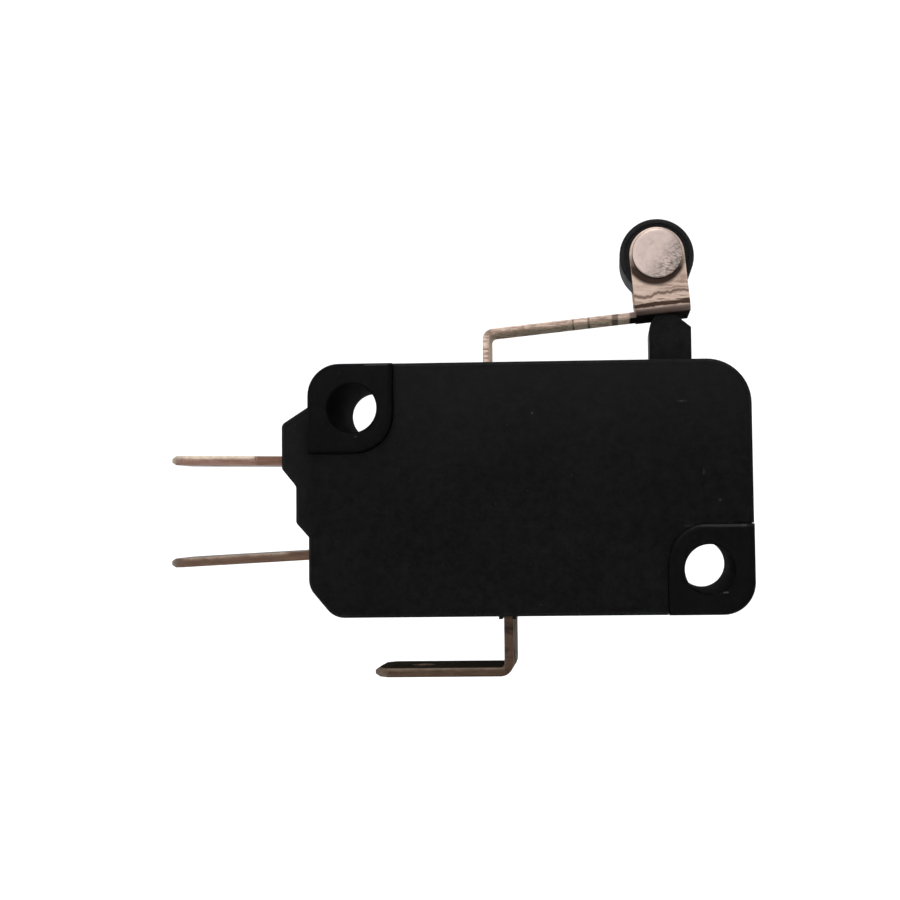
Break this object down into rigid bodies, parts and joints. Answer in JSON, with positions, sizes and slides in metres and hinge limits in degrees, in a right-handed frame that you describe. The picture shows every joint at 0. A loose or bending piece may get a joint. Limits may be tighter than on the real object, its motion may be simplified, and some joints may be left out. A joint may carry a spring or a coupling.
{
  "type": "lever micro switch",
  "caption": "Snap-action micro switch: flat black case with two mounting holes, hinged roller lever over a plunger, and push-on tabs for common, normally closed and normally open",
  "frame": {"origin": "on the axis of the lower mounting hole, halfway through the case's thickness", "axes": "+X along the case away from the terminal tabs, +Y through the case from the cover to the back, +Z out past the plunger"},
  "size_m": [0.0374, 0.0104, 0.0291],
  "materials": {
    "housing_black": "moulded black phenolic, matte with a fine mottle",
    "plunger_black": "moulded black, smooth matte",
    "roller_black": "turned black acetal, faint sheen",
    "lever_steel": "stamped stainless strip, warm and slightly dull",
    "rivet_steel": "formed rivet head, dull with stains",
    "terminal_brass": "tarnished brown brass with pale rubbed edges",
    "contact_silver": "silver alloy rivet contact",
    "blade_copper": "copper alloy spring strip",
    "inner_steel": "plain spring steel"
  },
  "bodies": {
    "housing": {"case": "housing_black", "cover": "housing_black", "common_terminal": "terminal_brass", "normally_closed_terminal": "terminal_brass", "normally_open_terminal": "terminal_brass", "normally_closed_contact": "contact_silver", "normally_open_contact": "contact_silver"},
    "lever": {"actuator_lever": "lever_steel", "roller_rivet": "rivet_steel"},
    "roller": {"roller": "roller_black"},
    "plunger": {"plunger": "plunger_black"},
    "trip": {"trip_lever": "inner_steel"},
    "blade": {"contact_blade": "blade_copper", "moving_contact": "contact_silver", "snap_spring": "inner_steel"}
  },
  "joints": [
    {"name": "lever_pivot", "type": "hinge", "parent": "housing", "child": "lever", "pos_m": [-0.014, 0, 0.0119], "axis": [0, 1, 0], "range_deg": [0, 10], "stiffness_Nm_per_rad": 0.05, "springref_deg": -8.59},
    {"name": "roller_spin", "type": "hinge", "parent": "lever", "child": "roller", "pos_m": [-0.00288, 0, 0.02], "axis": [0, 1, 0], "continuous": true},
    {"name": "plunger_slide", "type": "slide", "parent": "housing", "child": "plunger", "axis": [0, 0, -1], "range_m": [0, 0.00204]},
    {"name": "trip_pivot", "type": "hinge", "parent": "housing", "child": "trip", "pos_m": [-0.01226, 0, 0.0012], "axis": [0, 1, 0], "range_deg": [0, 11.46]},
    {"name": "blade_pivot", "type": "hinge", "parent": "housing", "child": "blade", "pos_m": [-0.01301, 0, 0.004], "axis": [0, 1, 0], "range_deg": [-6.41, 0], "deforming": ["snap_spring"]}
  ],
  "couplings": [
    {"joint": "plunger_slide", "follows": "lever_pivot", "m_per_rad": 0.011683},
    {"joint": "trip_pivot", "follows": "lever_pivot", "ratio": 1.1453},
    {"joint": "blade_pivot", "follows": "lever_pivot", "ratio": -0.64}
  ]
}
